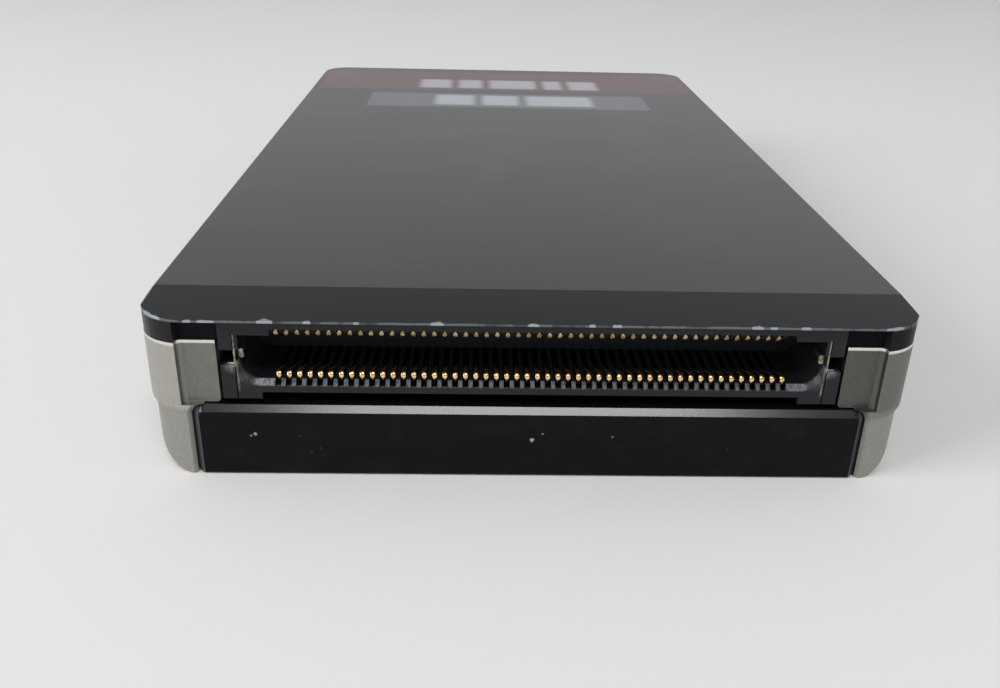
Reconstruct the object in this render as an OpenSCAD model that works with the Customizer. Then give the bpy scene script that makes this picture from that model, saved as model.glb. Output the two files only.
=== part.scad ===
// A removable solid-state capture drive for a camera.
// It rests on its underside: +Z is up, the docking connector faces -Y, and the origin is
// at the centre of the underside. Lengths along Y below are counted from the docking end.

/* [Body] */
// Length from the docking end to the rear wall
drive_length = 131; // [130:1:150]
// Width over the upper part of the side frame
drive_width = 74.4; // [73:0.2:80]
// Height from the underside to the top of the lid
drive_height = 16.8; // [16.4:0.1:19]
// Radius of the four upright corners above the side step
corner_r = 5; // [4.8:0.1:6.5]

/* [Side frame] */
// Thickness of the frame's side rails and rear wall
rail_t = 3; // [2.8:0.1:3.2]
// Radius of the frame's lower edge
lower_edge_r = 4.5; // [4:0.1:4.6]
// How far the upper part of the frame stands out past the lower part
side_step = 0.45; // [0.2:0.05:0.6]
// Height of the middle of the side step
side_step_z = 7.05; // [5:0.05:8]
// Height of the sloping face of the side step
side_step_slope_h = 1.1; // [0.4:0.1:1.6]
// Chamfer on the frame's upper edges
frame_edge = 0.2; // [0.1:0.05:0.3]
// Width of the two front corner pillars
pillar_w = 4; // [3.6:0.1:4.6]
// Setback of the tab beside each pillar
tab_setback = 0.9; // [0.5:0.1:1.2]
// Radius where a tab meets its pillar
tab_fillet_r = 0.5; // [0.2:0.1:0.8]
// Radius of the lower inner corner of a tab
tab_corner_r = 0.4; // [0.3:0.1:1.2]
// Chamfer on the frame's edge beside the front plate
window_edge = 0.4; // [0.2:0.05:0.5]
// Thickness of the ledge that the lower cover is screwed to
ledge_t = 1.4; // [1.2:0.1:2]
// Reach of that ledge past the edge of the lower cover
ledge_reach = 3.7; // [3.4:0.1:4]
// Height of the tongue that stands up inside the lid
tongue_h = 1.3; // [0.8:0.1:1.4]
// Thickness of that tongue
tongue_t = 0.85; // [0.6:0.05:0.9]

/* [Top cover] */
// Height of the lid's side skirt
lid_h = 2.8; // [2.6:0.1:3.2]
// Thickness of the lid's flat top
lid_t = 1.2; // [1:0.1:1.3]
// How far the lid stays inside the frame's outline
lid_inset = 0.1; // [0.05:0.05:0.3]
// Thickness of the lid's side skirt
skirt_t = 1.8; // [1.5:0.1:1.8]
// Length of the ramp along the front edge
ramp_l = 7.45; // [5:0.05:9]
// Drop of the ramp at the front edge
ramp_drop = 0.45; // [0.3:0.05:0.7]
// Thickness of the lip at the foot of the ramp
lip_t = 0.22; // [0.2:0.02:0.5]
// Setback of the lid's front wall under the lip
lid_wall_setback = 1.3; // [1.1:0.1:1.6]
// Chamfer along the lid's upper edges
lid_edge = 0.4; // [0.2:0.05:0.5]

/* [Bottom cover] */
// Thickness of the floor
floor_t = 1.6; // [1.4:0.1:2]
// Thickness of the front plate
plate_t = 2.2; // [1.8:0.1:2.6]
// Bevel round the front plate
plate_bevel = 0.6; // [0.3:0.05:0.8]
// Small bevel along the plate's foot
plate_foot_bevel = 0.2; // [0.1:0.05:0.3]
// Radius of the plate's upper corners and the floor's rear corners
plate_corner_r = 1.1; // [1:0.1:2.5]
// Width of bare frame beside the plate and round the floor
frame_margin = 4.9; // [4.6:0.1:5.3]
// Seam between the cover and the frame
seam = 0.1; // [0.06:0.02:0.2]
// Gap between the plate and the feet of the connector
plate_gap = 0.5; // [0.3:0.1:0.8]

/* [Docking connector] */
// Number of places in each row of contacts
contact_count = 50; // [40:1:50]
// Distance from one contact to the next
contact_pitch = 0.985; // [0.9:0.005:1]
// Places left empty at the right end of the upper row
empty_places = 1; // [0:1:3]
// Height of the connector from its feet
connector_h = 8; // [7.8:0.1:8.2]
// Setback of the connector's face
connector_setback = 0.8; // [0.5:0.1:1.2]
// Gap between the connector and the lid above it
connector_gap = 0.18; // [0.1:0.02:0.3]
// Room past the last contact at each end of the slot
slot_end_room = 3.4; // [3:0.1:3.5]
// Height of the slot
slot_h = 4.7; // [4.5:0.1:4.8]
// Thickness of the wall above the slot
slot_roof_t = 1.38; // [1.3:0.02:1.5]
// Depth of the slot
slot_depth = 7.7; // [7.4:0.1:8.5]
// Lead-in chamfer round the slot's mouth
lead_in = 0.6; // [0.4:0.05:0.7]
// Radius of the slot's lower corners
slot_corner_r = 1.75; // [1:0.05:1.9]
// Thickness of the connector's back wall
connector_back_t = 0.8; // [0.6:0.1:1.2]
// Width of an ear past the end of the slot
ear_w = 1.8; // [1.6:0.1:2]
// Depth of the wide flange at the connector's face
flange_t = 1.8; // [1.4:0.1:2]
// Height of the notch in each ear
ear_notch_h = 1.55; // [1:0.05:1.7]
// Width of a channel for one contact
channel_w = 0.58; // [0.5:0.02:0.64]
// Depth of a channel behind the mouth
channel_depth = 0.85; // [0.7:0.05:0.9]
// Height of the feet under the connector's lower wall
foot_h = 0.7; // [0.5:0.05:0.8]
// Width of each foot
foot_w = 3.7; // [3.4:0.1:4]

/* [Contacts] */
// Width of a contact
contact_w = 0.44; // [0.3:0.02:0.46]
// Thickness of a contact
contact_t = 0.2; // [0.12:0.02:0.24]
// Radius of the bend at a contact's tip, to the middle of the strip
tip_r = 0.42; // [0.34:0.02:0.46]
// Distance from the connector's face to the front of the tips
tip_setback = 0.83; // [0.7:0.01:1]
// How far a tip stands out past the slot's floor or roof
tip_rise = 0.6; // [0.4:0.05:0.7]
// Thickness of a ground clip
clip_t = 0.18; // [0.12:0.02:0.2]
// Height of a ground clip
clip_h = 3.4; // [3:0.1:3.6]
// Length of the clip's foot in the notch of the ear
clip_foot_l = 0.6; // [0.4:0.05:0.8]
// Height of the clip's finger
finger_h = 0.9; // [0.6:0.1:1]

/* [Board and modules] */
// Thickness of the main board
board_t = 1.6; // [1.2:0.1:1.8]
// Distance from the docking end to the board's front edge
board_front = 3.4; // [3:0.1:4]
// Width of a flash module
module_w = 22; // [20:0.5:22]
// Thickness of a flash module's board
module_t = 0.8; // [0.6:0.1:1]
// Height of the module's board over the main board
module_lift = 2.45; // [2.2:0.05:2.8]
// Gap between the two modules
module_gap = 2; // [1:0.5:2]
// Memory packages on each module
memory_count = 3; // [1:1:4]
// Width of a memory package
memory_w = 14; // [10:0.5:16]
// Gap between packages on a module
memory_gap = 1; // [0.5:0.1:2]
// Side of a module's square controller
controller_w = 12; // [8:0.5:12]
// Thickness of the chips on the modules
chip_t = 1.2; // [0.8:0.1:1.4]
// Thickness of the heat pads on the modules
heat_pad_t = 1.5; // [1:0.1:1.8]
// Side of the square bridge chip
bridge_w = 19; // [15:0.5:19]
// Thickness of the bridge chip
bridge_t = 2; // [1.4:0.1:2.6]
// Thickness of the bridge chip's heat pad
bridge_pad_t = 1; // [0.5:0.1:2]
// Side of a square power inductor
inductor_w = 6.6; // [5:0.1:7]
// Height of a power inductor
inductor_h = 3; // [2:0.1:4]
// Width of a hold-up capacitor
capacitor_w = 4.3; // [3:0.1:4.3]
// Length of a hold-up capacitor
capacitor_l = 7.3; // [5:0.1:7.5]
// Height of a hold-up capacitor
capacitor_h = 2.8; // [2:0.1:3.2]
// Gap between neighbouring power parts
power_gap = 2.4; // [1:0.1:3]
// Thickness of the insulating sheet
sheet_t = 0.2; // [0.1:0.05:0.4]

/* [Screws] */
// Radius of the shank of the cover screws and board screws
screw_r = 0.95; // [0.8:0.05:1]
// Radius of the screw heads
head_r = 1.8; // [1.6:0.05:1.85]
// Height of the board screws' heads
head_h = 1.2; // [0.8:0.1:1.4]
// Depth of the countersunk heads
sink_h = 1; // [0.8:0.05:1.1]
// Radius of the posts and standoffs that take a screw
post_r = 2.2; // [2:0.1:2.3]
// Clearance round a screw in a through hole
hole_gap = 0.15; // [0.1:0.05:0.2]
// Reach of the board screws into their standoffs
screw_grip = 3; // [2:0.1:4]
// Radius of the shank of the connector screws
small_screw_r = 0.7; // [0.6:0.05:0.8]
// Radius of the heads of the connector screws
small_head_r = 1; // [0.9:0.05:1.3]
// Height of the heads of the connector screws
small_head_h = 1; // [0.8:0.1:1.2]
// Reach of the connector screws into the feet
small_screw_grip = 1.4; // [1:0.1:1.6]
// Distance of the connector screws from the connector's back
small_screw_back = 3.4; // [2.5:0.1:4]

/* [Hidden] */
$fn = 48;

// Clearances inside the drive
fit_gap = 0.15;
hair = 0.02;
clip_gap = 0.03;
slide_gap = 0.05;
side_gap = 0.2;
screw_margin = 0.3;
post_gap = 0.4;
part_gap = 2;

// How far a cutting shape runs past a face, and how far a joined shape runs into its neighbour
past = 1;
join = 0.2;

// Heights
lid_under = drive_height - lid_t;
frame_top = drive_height - lid_h;
lip_z = drive_height - ramp_drop - lip_t;
connector_top = lip_z - connector_gap;
board_top = connector_top - connector_h;
board_z = board_top - board_t;
plate_h = board_top - plate_gap;
window_top = plate_h + seam;
ledge_top = floor_t + ledge_t;

step_low = side_step_z - side_step_slope_h / 2;
step_high = side_step_z + side_step_slope_h / 2;

// Half widths, and the frame's inner faces
half_w = drive_width / 2;
low_half = half_w - side_step;
plate_half = half_w - frame_margin;
notch_half = half_w - pillar_w;
rail_in = half_w - rail_t;
screw_x = plate_half - head_r - screw_margin;
board_half = screw_x - post_r - side_gap;
skirt_inset = lid_inset + skirt_t;

// Docking connector
slot_half = (contact_count - 1) * contact_pitch / 2 + slot_end_room;
connector_half = slot_half + ear_w;
flange_step = 0.7;
body_half = connector_half - flange_step;
comb_half = contact_count * contact_pitch / 2 - slide_gap;
slot_mid_z = connector_top - slot_roof_t - slot_h / 2;
slot_floor = slot_mid_z - slot_h / 2;
slot_back = connector_setback + slot_depth;
connector_back = slot_back + connector_back_t;
clip_wall = 0.3;
clip_x = slot_half + clip_wall + clip_gap;
clip_low = slot_mid_z - 1;
clip_l = slot_depth - 1.3;
clip_front = connector_setback + 0.1;
finger_lift = 0.25;
finger_z = slot_mid_z - finger_h / 2 + finger_lift;
finger_y = clip_front + 0.4;
finger_l = 1.75;
ear_notch_z = slot_mid_z - 0.75;
tab_inner = connector_half + 2 * fit_gap;
arm_w = 1.6;
arm_in = body_half - arm_w;

// Contacts: a tip bend, a sloping beam, then a level run and a tail down to the board
tip_y = connector_setback + tip_setback + tip_r + contact_t / 2;
tip_z = slot_floor + tip_rise - tip_r - contact_t / 2;
beam_l = 3.45;
beam_angle = 72;
beam_lift = 0.08;
beam_z = slot_floor - channel_depth + contact_t / 2 + beam_lift;
tail_bend_r = 0.3;
tail_row_gap = 2.5;
lower_tail_y = connector_back + 2 * tail_bend_r;
upper_tail_y = lower_tail_y + tail_row_gap;
tail_foot_l = 0.9;
tail_slot_w = contact_w + 2 * slide_gap;

// Places along the drive
middle_screw_y = drive_length / 2 + 4;
cover_screw_ys = [
    upper_tail_y + tail_foot_l + post_r + post_gap,
    middle_screw_y,
    drive_length - frame_margin - head_r - screw_margin
];
board_screw_x = board_half - post_r;
board_screw_ys = [
    cover_screw_ys[0] + post_gap,
    middle_screw_y,
    drive_length - frame_margin - ledge_reach - post_r - post_gap
];
board_rear = drive_length - rail_t - 4 * side_gap;
bridge_y = cover_screw_ys[0] + 4 * part_gap;
socket_l = 6.4;
socket_grip = 2.1;
socket_cover = 0.9;
socket_y = bridge_y + bridge_w / 2 + part_gap;
socket_h = module_lift + module_t + socket_cover;
module_y = socket_y + socket_l - socket_grip;
module_x = (module_w + module_gap) / 2;
module_z = board_top + module_lift;
module_screw_back = 7.5;
module_screw_y = board_rear - module_screw_back;
module_l = module_screw_y - module_y;
chip_z = module_z + module_t;
controller_y = socket_y + socket_l + memory_gap;
memory_y = controller_y + controller_w + memory_gap;
memory_end = module_screw_y - head_r - 3 * memory_gap;
memory_l = (memory_end - memory_y + memory_gap) / memory_count - memory_gap;
board_edge_room = 1.2;
capacitor_x = board_half - capacitor_w / 2 - board_edge_room;
capacitor_gap = 0.6;
capacitor_y = board_screw_ys[0] + head_r + capacitor_gap;
inductor_x = (bridge_w / 2 + capacitor_x - capacitor_w / 2) / 2;
post_floor = 0.85;
post_grip = module_lift - post_floor;
comb_bar_w = 1.4;
comb_bar_h = 1.8;
comb_bar_lift = 1.6;
comb_bar_z = board_top + comb_bar_lift;

// Screws: the hex socket in a head, and the lid left over the bores
hex_r = 0.7;
hex_depth_share = 0.6;
lid_skin = 0.8;

// Everything is laid out from the docking end, then centred
module placed() {
    translate([0, -drive_length / 2, 0]) children();
}

// Carries an outline in X and Z along Y
module along_y(y0, y1) {
    translate([0, y1, 0]) rotate([90, 0, 0]) linear_extrude(y1 - y0) children();
}

// Carries an outline in Y and Z along X
module along_x(x0, x1) {
    translate([x0, 0, 0]) rotate([90, 0, 90]) linear_extrude(x1 - x0) children();
}

module both_sides() {
    children();
    mirror([1, 0, 0]) children();
}

// A rectangle with four rounded corners, from its near left corner
module rounded_rect(x0, y0, x1, y1, r) {
    translate([x0 + r, y0]) square([x1 - x0 - 2 * r, y1 - y0]);
    translate([x0, y0 + r]) square([x1 - x0, y1 - y0 - 2 * r]);
    for (x = [x0 + r, x1 - r], y = [y0 + r, y1 - r]) translate([x, y]) circle(r);
}

// The drive's plan, moved in by inset, with its docking end at front
module plan(inset, front) {
    rounded_rect(inset - half_w, front, half_w - inset, drive_length - inset, corner_r - inset);
}

// Places of the cover screws and of the board screws
module at_cover_screws() {
    for (x = [-screw_x, screw_x], y = cover_screw_ys) translate([x, y, 0]) children();
}

module at_board_screws() {
    for (x = [-board_screw_x, board_screw_x], y = board_screw_ys) translate([x, y, 0]) children();
}

// Outline of the frame across the drive: rounded lower edges, a sloping step, chamfered upper edges
module frame_section() {
    translate([lower_edge_r - low_half, 0]) square([2 * (low_half - lower_edge_r), step_low]);
    translate([-low_half, lower_edge_r]) square([2 * low_half, step_low - lower_edge_r]);
    for (x = [lower_edge_r - low_half, low_half - lower_edge_r])
        translate([x, lower_edge_r]) circle(lower_edge_r);
    polygon([
        [-low_half, step_low], [low_half, step_low], [half_w, step_high], [half_w, frame_top - frame_edge],
        [half_w - frame_edge, frame_top], [frame_edge - half_w, frame_top],
        [-half_w, frame_top - frame_edge], [-half_w, step_high]
    ]);
}

// Outline of the frame along the drive: the rear lower edge is rounded like the sides
module frame_side_view() {
    square([drive_length - lower_edge_r, frame_top]);
    translate([0, lower_edge_r]) square([drive_length, frame_top - lower_edge_r]);
    translate([drive_length - lower_edge_r, lower_edge_r]) circle(lower_edge_r);
}

// What is taken off an upright corner below the step: a straight round, then a cone up the slope
module low_corner_cut() {
    r = corner_r - side_step / 2;
    translate([low_half - r, r, 0]) difference() {
        translate([0, -r - past, -past]) cube([r + past, r + past, step_high + past]);
        translate([0, 0, -2 * past]) cylinder(r = r, h = step_low + 2 * past);
        translate([0, 0, step_low]) cylinder(r1 = r, r2 = r + side_step, h = side_step_slope_h);
    }
}

module frame_solid() {
    difference() {
        intersection() {
            along_y(0, drive_length) frame_section();
            linear_extrude(frame_top) plan(0, 0);
            along_x(-half_w, half_w) frame_side_view();
        }
        both_sides() low_corner_cut();
        both_sides() translate([0, drive_length, 0]) mirror([0, 1, 0]) low_corner_cut();
    }
}

// The set-back in front of a tab, with a hollow fillet against the pillar
module tab_recess() {
    r = tab_fillet_r;
    translate([tab_inner - past, -past, window_top])
        cube([notch_half - r - tab_inner + past, tab_setback + past, drive_height]);
    translate([tab_inner, -past, window_top])
        cube([notch_half - tab_inner, tab_setback - r + past, drive_height]);
    translate([notch_half - r, tab_setback - r, window_top]) cylinder(r = r, h = drive_height);
}

// The windows in the frame's front for the plate and for the connector
module front_windows() {
    window_half = plate_half + seam;
    corner = plate_corner_r + seam;
    along_y(-past, rail_t + past) {
        translate([corner - window_half, -past]) square([2 * (window_half - corner), window_top + past]);
        translate([-window_half, -past]) square([2 * window_half, window_top - corner + past]);
        for (x = [corner - window_half, window_half - corner])
            translate([x, window_top - corner]) circle(corner);
        translate([-tab_inner, window_top - past]) square([2 * tab_inner, drive_height]);
        for (side = [-1, 1]) difference() {
            translate([side * (tab_inner + tab_corner_r / 2), window_top + tab_corner_r / 2])
                square([tab_corner_r + hair, tab_corner_r + hair], center = true);
            translate([side * (tab_inner + tab_corner_r), window_top + tab_corner_r]) circle(tab_corner_r);
        }
    }
    both_sides() window_chamfer(window_half, corner);
}

// The chamfer on the window's edge beside the plate: straight up the side, a cone at the corner
module window_chamfer(window_half, corner) {
    e = window_edge;
    translate([0, 0, -past]) linear_extrude(window_top - corner + past) polygon([
        [window_half - past, -past], [window_half + e + past, -past], [window_half - past, e + past]
    ]);
    translate([window_half - corner, 0, window_top - corner]) intersection() {
        rotate([-90, 0, 0]) cylinder(r1 = corner + e, r2 = corner, h = e);
        cube([corner + e, e, corner]);
    }
}

// The opening in the frame's underside that the floor of the lower cover fills
module floor_opening() {
    translate([0, 0, -past]) linear_extrude(floor_t + past)
        floor_outline(plate_half + seam, drive_length - frame_margin + seam, plate_corner_r + seam);
    ledge_half = plate_half - ledge_reach;
    translate([-ledge_half, -past, 0])
        cube([2 * ledge_half, drive_length - frame_margin - ledge_reach + past, ledge_top + past]);
}

module side_frame() {
    color("#b4b2ac") placed() difference() {
        union() {
            difference() {
                frame_solid();
                translate([0, 0, ledge_top]) linear_extrude(drive_height) plan(rail_t, rail_t);
                floor_opening();
                front_windows();
                both_sides() tab_recess();
            }
            frame_tongue();
            frame_posts();
        }
        at_cover_screws() cylinder(r = screw_r + hole_gap, h = drive_height);
    }
}

// The low wall that stands up inside the lid's skirt
module frame_tongue() {
    translate([0, 0, frame_top - past]) linear_extrude(tongue_h + past) difference() {
        plan(rail_t - tongue_t, rail_t - tongue_t);
        plan(rail_t, rail_t);
        translate([-half_w, -past]) square([drive_width, corner_r + 2 * past]);
    }
}

// The posts that the cover screws pass through, each with a web to its rail
module frame_posts() {
    web_w = 2.6;
    translate([0, 0, floor_t]) at_cover_screws() cylinder(r = post_r, h = frame_top - floor_t);
    for (y = cover_screw_ys) both_sides() translate([screw_x, y - web_w / 2, floor_t])
        cube([rail_in - screw_x + join, web_w, frame_top - floor_t]);
}

// Outline of the floor: square at the docking end, rounded at the rear
module floor_outline(half, rear, r) {
    translate([-half, -past]) square([2 * half, rear - r + past]);
    translate([r - half, 0]) square([2 * (half - r), rear]);
    for (x = [r - half, half - r]) translate([x, rear - r]) circle(r);
}

// Outline of the front plate, with two rounded upper corners
module plate_outline() {
    r = plate_corner_r;
    translate([-plate_half, 0]) square([2 * plate_half, plate_h - r]);
    translate([r - plate_half, 0]) square([2 * (plate_half - r), plate_h]);
    for (x = [r - plate_half, plate_half - r]) translate([x, plate_h - r]) circle(r);
}

// What the bevel takes off the plate: straight along the top and sides, a cone at each corner
module plate_bevel_cut() {
    b = plate_bevel;
    r = plate_corner_r;
    along_x(-plate_half - past, plate_half + past)
        polygon([[-past, plate_h - b - past], [b + past, plate_h + past], [-past, plate_h + past]]);
    both_sides() translate([0, 0, -past]) linear_extrude(plate_h + 2 * past)
        polygon([[plate_half - b - past, -past], [plate_half + past, b + past], [plate_half + past, -past]]);
    both_sides() translate([plate_half - r, 0, plate_h - r]) difference() {
        translate([0, -past, 0]) cube([r + past, b + past, r + past]);
        rotate([-90, 0, 0]) cylinder(r1 = r - b, r2 = r, h = b);
    }
    along_x(-plate_half - past, plate_half + past) polygon([
        [-past, plate_foot_bevel + past], [plate_foot_bevel + past, -past], [-past, -past]
    ]);
}

module bottom_cover() {
    color("#1d1e20") placed() difference() {
        union() {
            intersection() {
                linear_extrude(floor_t)
                    floor_outline(plate_half, drive_length - frame_margin, plate_corner_r);
                translate([-half_w, 0, 0]) cube([drive_width, drive_length, drive_height]);
            }
            along_y(0, plate_t) plate_outline();
            at_board_screws() cylinder(r = post_r, h = board_z);
        }
        plate_bevel_cut();
        at_cover_screws() countersink();
        translate([0, 0, floor_t]) at_board_screws() cylinder(r = screw_r + hair, h = drive_height);
    }
}

// A countersunk hole through the floor, its mouth flush with the underside
module countersink() {
    translate([0, 0, -past]) cylinder(r = screw_r + hole_gap, h = floor_t + 2 * past);
    cylinder(r1 = head_r, r2 = screw_r, h = sink_h);
}

module cover_screws() {
    shank_top = drive_height - lid_skin - side_gap;
    color("#2c2d30") placed() at_cover_screws() difference() {
        union() {
            cylinder(r1 = head_r, r2 = screw_r, h = sink_h);
            cylinder(r = screw_r, h = shank_top);
        }
        translate([0, 0, -past]) cylinder(r = hex_r, h = sink_h * hex_depth_share + past, $fn = 6);
    }
}

// The lid's top view, its front edge in line with the plate
module lid_solid() {
    translate([0, 0, frame_top]) linear_extrude(lid_h) plan(lid_inset, 0);
}

// The ramp, and the chamfers along the lid's sides and rear
module lid_edge_cuts() {
    e = lid_edge;
    rear = drive_length - lid_inset;
    half = half_w - lid_inset;
    r = corner_r - lid_inset;
    slope = ramp_drop / ramp_l;
    along_x(-half_w, half_w) polygon([
        [-past, drive_height - ramp_drop - slope * past], [ramp_l, drive_height],
        [ramp_l, drive_height + past], [-past, drive_height + past]
    ]);
    both_sides() along_y(ramp_l, drive_length + past) lid_side_chamfer(half);
    translate([0, ramp_l, drive_height]) rotate([atan(slope), 0, 0])
        both_sides() along_y(-ramp_l - past, 0) translate([0, -drive_height]) lid_side_chamfer(half);
    along_x(-half_w, half_w) lid_side_chamfer(rear);
    both_sides() translate([half - r, rear - r, drive_height - e]) difference() {
        cube([r + past, r + past, e + past]);
        cylinder(r1 = r, r2 = r - e, h = e);
    }
}

// What a chamfer takes off the lid's upper edge, from above
module lid_side_chamfer(edge) {
    polygon([
        [edge - lid_edge - past, drive_height + past], [edge + past, drive_height - lid_edge - past],
        [edge + past, drive_height + past]
    ]);
}

// The hollow under the lid: inside the skirt, in front of the tabs, and over the connector
module lid_hollow() {
    wall_back = lid_wall_setback + skirt_t;
    notch_h = lip_z - frame_top + past;
    pocket_half = connector_half + side_gap;
    pocket_back = connector_back + 2 * side_gap;
    translate([0, 0, frame_top - past]) {
        linear_extrude(lid_h - lid_t + past) plan(skirt_inset, wall_back);
        translate([-notch_half, -past, 0]) cube([2 * notch_half, lid_wall_setback + past, notch_h]);
        translate([-pocket_half, -past, 0]) cube([2 * pocket_half, pocket_back + past, notch_h]);
    }
}

// A raised pad under the lid that reaches down to a heat pad
module lid_pedestal(half, y0, y1, z) {
    translate([-half, y0, z]) cube([2 * half, y1 - y0, lid_under - z + join]);
}

module top_cover() {
    color("#2b2c2e") placed() difference() {
        union() {
            difference() {
                lid_solid();
                lid_edge_cuts();
                lid_hollow();
            }
            translate([0, 0, frame_top]) at_cover_screws() cylinder(r = post_r, h = lid_h - lid_t + join);
            bridge_edge = bridge_w / 2;
            bridge_pad_top = board_top + bridge_t + bridge_pad_t;
            lid_pedestal(bridge_edge, bridge_y - bridge_edge, bridge_y + bridge_edge, bridge_pad_top);
            lid_pedestal(module_x + memory_w / 2, memory_y, memory_end, chip_z + chip_t + heat_pad_t);
        }
        at_cover_screws() cylinder(r = screw_r + hair, h = drive_height - lid_skin);
    }
}

// Places of the contacts along a row
function contact_x(i) = (i - (contact_count - 1) / 2) * contact_pitch;

// Half of the slot's mouth: level floor, rounded lower corner, upright end
module slot_outline() {
    top = slot_floor + slot_h;
    r = slot_corner_r;
    translate([r - slot_half, slot_floor]) square([2 * (slot_half - r), slot_h]);
    translate([-slot_half, slot_floor + r]) square([2 * slot_half, top - slot_floor - r]);
    for (x = [r - slot_half, slot_half - r]) translate([x, slot_floor + r]) circle(r);
}

// The slot, and the lead-in along its floor, round its lower corners and over the comb
module slot_cut() {
    top = slot_floor + slot_h;
    face = connector_setback;
    r = slot_corner_r;
    straight = slot_half - r;
    along_y(face - past, slot_back) slot_outline();
    along_x(-straight, straight) polygon([
        [face - past, slot_floor - lead_in - past], [face + lead_in, slot_floor],
        [face - past, slot_floor + past]
    ]);
    along_x(-comb_half, comb_half) polygon([
        [face - past, top + lead_in + past], [face + lead_in, top], [face - past, top - past]
    ]);
    both_sides() intersection() {
        translate([straight, face, slot_floor + r]) rotate([-90, 0, 0])
            cylinder(r1 = r + lead_in, r2 = r, h = lead_in);
        translate([0, 0, slot_floor - past]) cube([slot_half + clip_wall / 2, slot_back, r + past]);
    }
}

// A channel for one contact of the lower row: open upwards and through the back wall
module channel() {
    face = connector_setback;
    mouth_z = slot_floor - lead_in;
    step_y = face + lead_in / 2;
    floor_z = slot_floor - channel_depth;
    along_x(-channel_w / 2, channel_w / 2) polygon([
        [face - past, mouth_z], [step_y, mouth_z], [step_y, floor_z], [connector_back + past, floor_z],
        [connector_back + past, slot_floor + hair], [face - past, slot_floor + hair]
    ]);
}

// Turns a lower-row shape over into the upper row
module to_upper_row() {
    translate([0, 0, 2 * slot_mid_z]) mirror([0, 0, 1]) children();
}

module connector_body() {
    face = connector_setback;
    wall_z = board_top + foot_h;
    wall_h = connector_top - wall_z;
    arm_back = upper_tail_y + comb_bar_w / 2;
    translate([-connector_half, face, wall_z]) cube([2 * connector_half, flange_t, wall_h]);
    translate([-body_half, face, wall_z]) cube([2 * body_half, connector_back - face, wall_h]);
    both_sides() {
        translate([connector_half - foot_w, face, board_top]) {
            cube([foot_w, flange_t, foot_h + past]);
            cube([foot_w - flange_step, connector_back - face, foot_h + past]);
        }
        translate([arm_in, connector_back - past, board_top])
            cube([arm_w, arm_back - connector_back + past, comb_bar_lift + comb_bar_h]);
    }
}

// The slit for a ground clip, the fine seam below it, the window for its finger and the ear's notch
module ear_cuts() {
    front = connector_setback - past;
    seam_w = 0.1;
    translate([clip_x - clip_gap, front, clip_low - clip_gap])
        cube([clip_t + 2 * clip_gap, slot_depth, clip_h + 2 * clip_gap]);
    translate([clip_x + clip_t / 2 - seam_w / 2, front, board_top - past])
        cube([seam_w, 2 * past, clip_low - board_top + past]);
    translate([slot_half - past, front, finger_z - fit_gap])
        cube([clip_x - slot_half + past, finger_l + 2 * past, finger_h + 2 * fit_gap]);
    translate([clip_x + clip_t + clip_gap, front, ear_notch_z])
        cube([ear_w + past, flange_t + 2 * past, ear_notch_h]);
}

module connector_housing() {
    color("#34373b") placed() difference() {
        connector_body();
        slot_cut();
        for (i = [0 : contact_count - 1]) translate([contact_x(i), 0, 0]) {
            channel();
            to_upper_row() channel();
        }
        both_sides() ear_cuts();
        at_connector_screws()
            cylinder(r = small_screw_r + hair, h = board_t + small_screw_grip + hole_gap);
    }
}

// Points of an arc about a centre, from one angle to the other
function arc(c, r, a0, a1, n) = [
    for (k = [0 : n]) let (a = a0 + (a1 - a0) * k / n) c + r * [cos(a), sin(a)]
];

// Unit normal of a path at point k, taken from its two neighbours
function path_normal(p, k) =
    let (a = p[max(k - 1, 0)], b = p[min(k + 1, len(p) - 1)], d = b - a) [-d[1], d[0]] / norm(d);

// A strip of even thickness laid along a path, as one closed outline
function strip(p, t) = concat(
    [for (k = [0 : len(p) - 1]) p[k] + path_normal(p, k) * t / 2],
    [for (k = [len(p) - 1 : -1 : 0]) p[k] - path_normal(p, k) * t / 2]
);

// A contact's path from its tip over the bend and down the beam, in Y and Z, for the lower row
function tip_path() = concat(
    arc([tip_y, tip_z], tip_r, 200, beam_angle, 9),
    [[tip_y + beam_l, beam_z]]
);

// The run behind the beam: level, then a bend down to the board, then a foot on the board
function tail_path(tail_y, level, foot_z) = concat(
    arc([tail_y - tail_bend_r, level - tail_bend_r], tail_bend_r, 90, 0, 4),
    arc([tail_y + tail_bend_r, foot_z + tail_bend_r], tail_bend_r, 180, 270, 4),
    [[tail_y + tail_foot_l, foot_z]]
);

module lower_contact() {
    path = concat(tip_path(), tail_path(lower_tail_y, beam_z, board_top + contact_t / 2));
    along_x(-contact_w / 2, contact_w / 2) polygon(strip(path, contact_t));
}

module upper_contact() {
    flip = 2 * slot_mid_z;
    head = [for (p = tip_path()) [p[0], flip - p[1]]];
    path = concat(head, tail_path(upper_tail_y, flip - beam_z, board_top + contact_t / 2));
    along_x(-contact_w / 2, contact_w / 2) polygon(strip(path, contact_t));
}

module lower_contacts() {
    color("#c9a24a") placed()
        for (i = [0 : contact_count - 1]) translate([contact_x(i), 0, 0]) lower_contact();
}

module upper_contacts() {
    color("#c9a24a") placed()
        for (i = [0 : contact_count - 1 - empty_places]) translate([contact_x(i), 0, 0]) upper_contact();
}

// A ground clip at the right end: an upright strip in its slit, a rolled finger that stands into
// the slot, and a foot on the floor of the ear's notch
module ground_clip() {
    roll_r = 0.35;
    translate([clip_x, clip_front, clip_low]) cube([clip_t, clip_l, clip_h]);
    translate([clip_x - roll_r, finger_y + roll_r, finger_z]) {
        cylinder(r = roll_r, h = finger_h, $fn = 24);
        cube([roll_r + clip_t / 2, finger_l - roll_r, finger_h]);
    }
    translate([clip_x, clip_front, ear_notch_z + clip_gap])
        cube([clip_t + clip_foot_l, clip_foot_l, clip_t]);
}

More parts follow.
